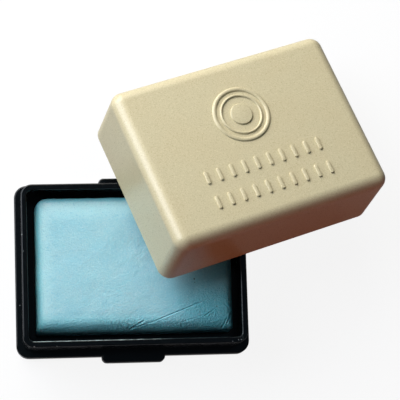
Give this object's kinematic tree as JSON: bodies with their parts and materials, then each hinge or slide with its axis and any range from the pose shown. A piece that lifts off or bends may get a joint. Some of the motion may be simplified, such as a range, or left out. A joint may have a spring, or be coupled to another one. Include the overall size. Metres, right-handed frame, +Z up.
{
  "type": "kneaded eraser in a lidded pocket case",
  "caption": "Soft kneaded putty eraser slab lying in a low walled plastic tray, with the drafted box lid taken off and leaning on the tray.",
  "frame": {"origin": "centre of the tray's underside, on the plane that it stands on", "axes": "+Z up out of the tray, +X along its long side to the right, +Y to the back, where the lid leans"},
  "size_m": [0.0748, 0.0651, 0.0326],
  "materials": {
    "putty": "matt, finely grained putty",
    "black_plastic": "satin gloss moulded",
    "cream_plastic": "fine speckled satin moulded"
  },
  "bodies": {
    "root": {"eraser": "putty", "base_tray": "black_plastic", "lid": "cream_plastic"}
  },
  "joints": []
}
